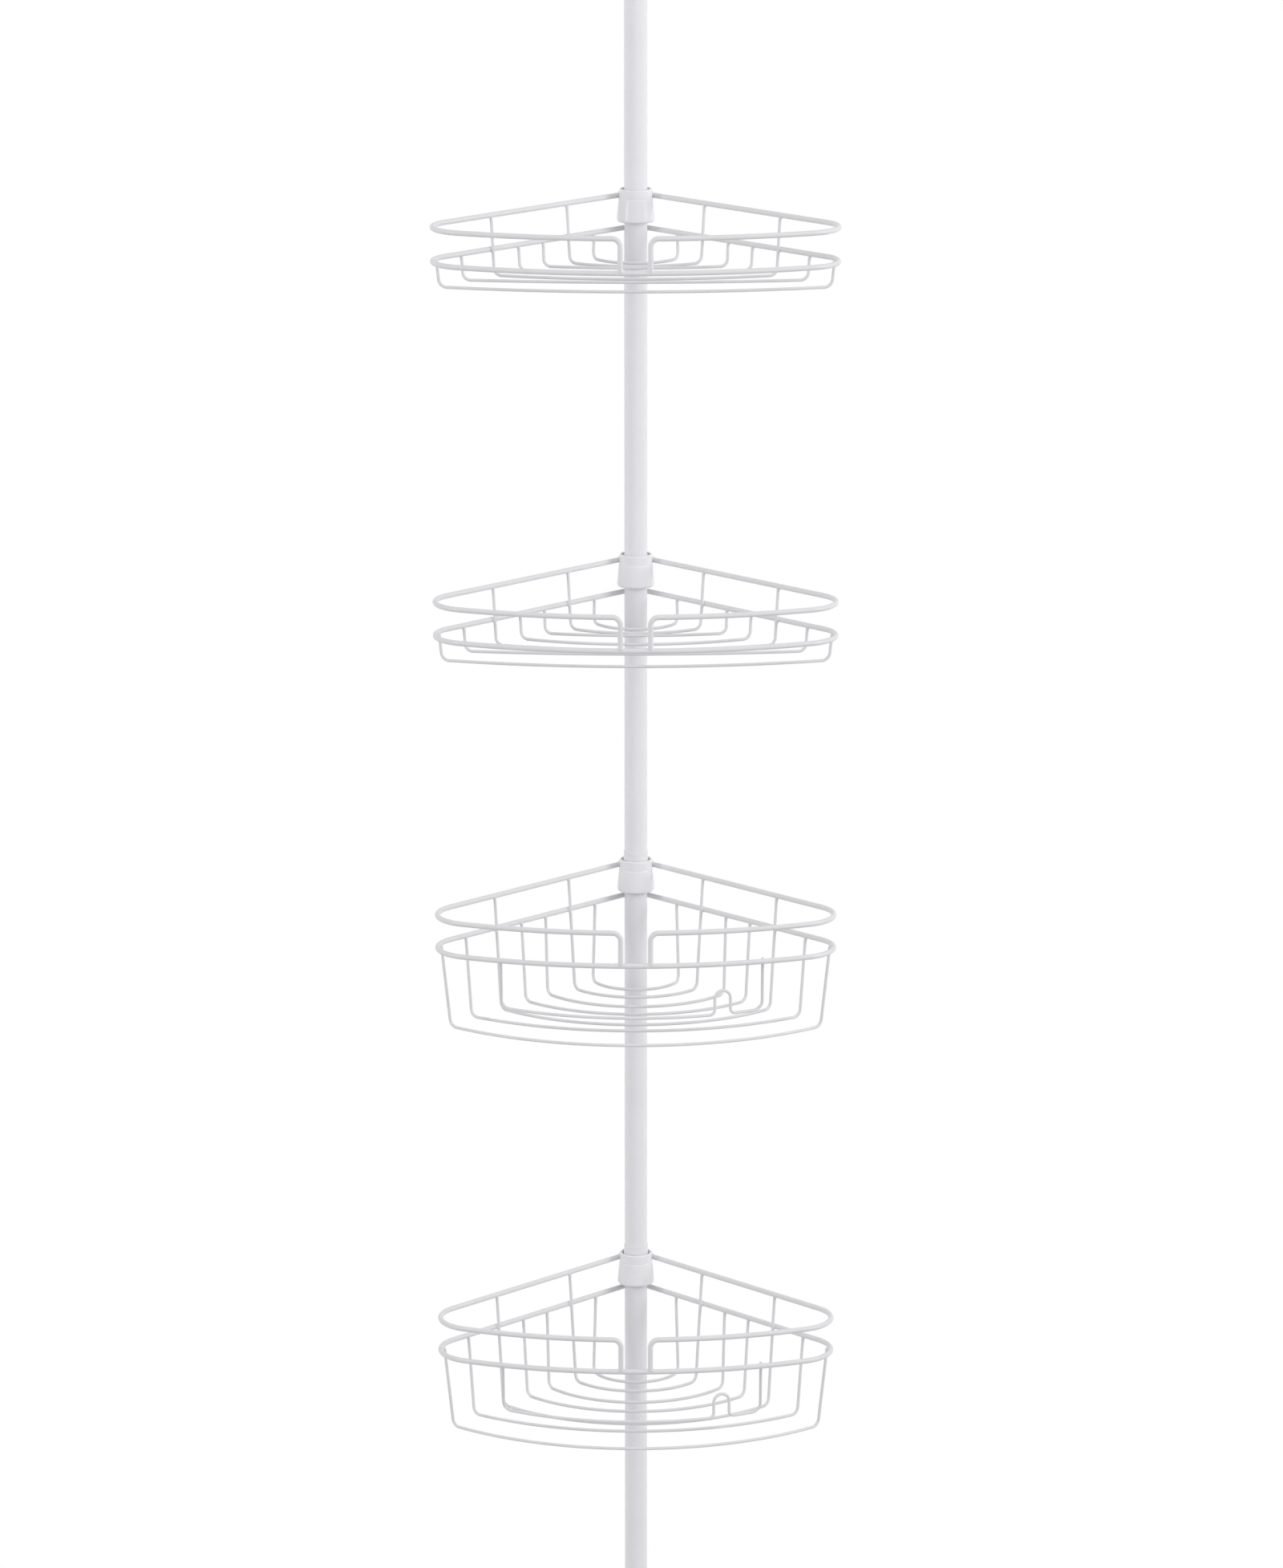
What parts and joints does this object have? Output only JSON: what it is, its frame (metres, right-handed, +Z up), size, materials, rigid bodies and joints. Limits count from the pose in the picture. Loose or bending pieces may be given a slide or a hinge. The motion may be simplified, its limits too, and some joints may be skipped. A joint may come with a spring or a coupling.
{
  "type": "tension pole shelf unit",
  "caption": "Corner tension pole shelf unit: wire trays and deep wire baskets wedged with collars on a sprung pole between floor and ceiling.",
  "frame": {"origin": "centre of the floor foot's underside, on the pole's axis", "axes": "+Z up along the pole; -Y out of the room corner towards the user, where the bowed basket fronts are; +X to the user's right, the side of the notch in the front wires"},
  "size_m": [0.3802, 0.2735, 2.15],
  "materials": {
    "rim_coat": "thick white powder coat over steel wire, glossy",
    "wire_coat": "white powder coat over thin steel wire, glossy",
    "pole_coat": "smooth white enamel on steel tube, glossy",
    "inner_pole_coat": "smooth white enamel on steel tube, glossy",
    "collar_plastic": "moulded white plastic, glossy",
    "clip_plastic": "moulded white plastic, satin",
    "bush_plastic": "moulded white plastic, satin",
    "foot_rubber": "off-white moulded rubber, matt",
    "spring_steel": "drawn spring wire, oiled"
  },
  "bodies": {
    "pole": {"floor_foot": "foot_rubber", "pole_lower": "pole_coat", "pole_middle": "pole_coat", "pole_upper": "pole_coat", "pole_bush": "bush_plastic", "spring_seat": "bush_plastic", "spring": "spring_steel"},
    "inner_pole": {"inner_pole": "inner_pole_coat", "inner_pole_plug": "bush_plastic", "ceiling_foot": "foot_rubber"},
    "upper_tray_clip": {"upper_tray_clip_front": "clip_plastic", "upper_tray_clip_back": "clip_plastic"},
    "upper_tray": {"upper_tray_collar": "collar_plastic", "upper_tray_guard_rail": "rim_coat", "upper_tray_rim": "rim_coat", "upper_tray_wire_1": "wire_coat", "upper_tray_wire_2": "wire_coat", "upper_tray_wire_3": "wire_coat", "upper_tray_wire_4": "wire_coat", "upper_tray_wire_5": "wire_coat", "upper_tray_wire_6": "wire_coat", "upper_tray_wire_7": "wire_coat"},
    "lower_tray_clip": {"lower_tray_clip_front": "clip_plastic", "lower_tray_clip_back": "clip_plastic"},
    "lower_tray": {"lower_tray_collar": "collar_plastic", "lower_tray_guard_rail": "rim_coat", "lower_tray_rim": "rim_coat", "lower_tray_wire_1": "wire_coat", "lower_tray_wire_2": "wire_coat", "lower_tray_wire_3": "wire_coat", "lower_tray_wire_4": "wire_coat", "lower_tray_wire_5": "wire_coat", "lower_tray_wire_6": "wire_coat", "lower_tray_wire_7": "wire_coat"},
    "upper_basket_clip": {"upper_basket_clip_front": "clip_plastic", "upper_basket_clip_back": "clip_plastic"},
    "upper_basket": {"upper_basket_collar": "collar_plastic", "upper_basket_guard_rail": "rim_coat", "upper_basket_rim": "rim_coat", "upper_basket_wire_1": "wire_coat", "upper_basket_wire_2": "wire_coat", "upper_basket_wire_3": "wire_coat", "upper_basket_wire_4": "wire_coat", "upper_basket_wire_5": "wire_coat", "upper_basket_wire_6": "wire_coat", "upper_basket_wire_7": "wire_coat", "upper_basket_front_wire": "wire_coat"},
    "lower_basket_clip": {"lower_basket_clip_front": "clip_plastic", "lower_basket_clip_back": "clip_plastic"},
    "lower_basket": {"lower_basket_collar": "collar_plastic", "lower_basket_guard_rail": "rim_coat", "lower_basket_rim": "rim_coat", "lower_basket_wire_1": "wire_coat", "lower_basket_wire_2": "wire_coat", "lower_basket_wire_3": "wire_coat", "lower_basket_wire_4": "wire_coat", "lower_basket_wire_5": "wire_coat", "lower_basket_wire_6": "wire_coat", "lower_basket_wire_7": "wire_coat", "lower_basket_front_wire": "wire_coat"}
  },
  "joints": [
    {"name": "top_spring", "type": "slide", "parent": "pole", "child": "inner_pole", "axis": [0, 0, 1], "range_m": [-0.05, 0], "stiffness_N_per_m": 2400, "springref_m": 0.015, "deforming": ["spring"]},
    {"name": "upper_tray_height", "type": "slide", "parent": "pole", "child": "upper_tray_clip", "axis": [0, 0, 1], "range_m": [-0.13, 0.24]},
    {"name": "upper_tray_swivel", "type": "hinge", "parent": "upper_tray_clip", "child": "upper_tray", "pos_m": [0, 0, 1.658], "axis": [0, 0, 1], "continuous": true},
    {"name": "lower_tray_height", "type": "slide", "parent": "pole", "child": "lower_tray_clip", "axis": [0, 0, 1], "range_m": [-0.1, 0.14]},
    {"name": "lower_tray_swivel", "type": "hinge", "parent": "lower_tray_clip", "child": "lower_tray", "pos_m": [0, 0, 1.304], "axis": [0, 0, 1], "continuous": true},
    {"name": "upper_basket_height", "type": "slide", "parent": "pole", "child": "upper_basket_clip", "axis": [0, 0, 1], "range_m": [-0.12, 0.1]},
    {"name": "upper_basket_swivel", "type": "hinge", "parent": "upper_basket_clip", "child": "upper_basket", "pos_m": [0, 0, 1.001], "axis": [0, 0, 1], "continuous": true},
    {"name": "lower_basket_height", "type": "slide", "parent": "pole", "child": "lower_basket_clip", "axis": [0, 0, 1], "range_m": [-0.4, 0.12]},
    {"name": "lower_basket_swivel", "type": "hinge", "parent": "lower_basket_clip", "child": "lower_basket", "pos_m": [0, 0, 0.6], "axis": [0, 0, 1], "continuous": true}
  ]
}
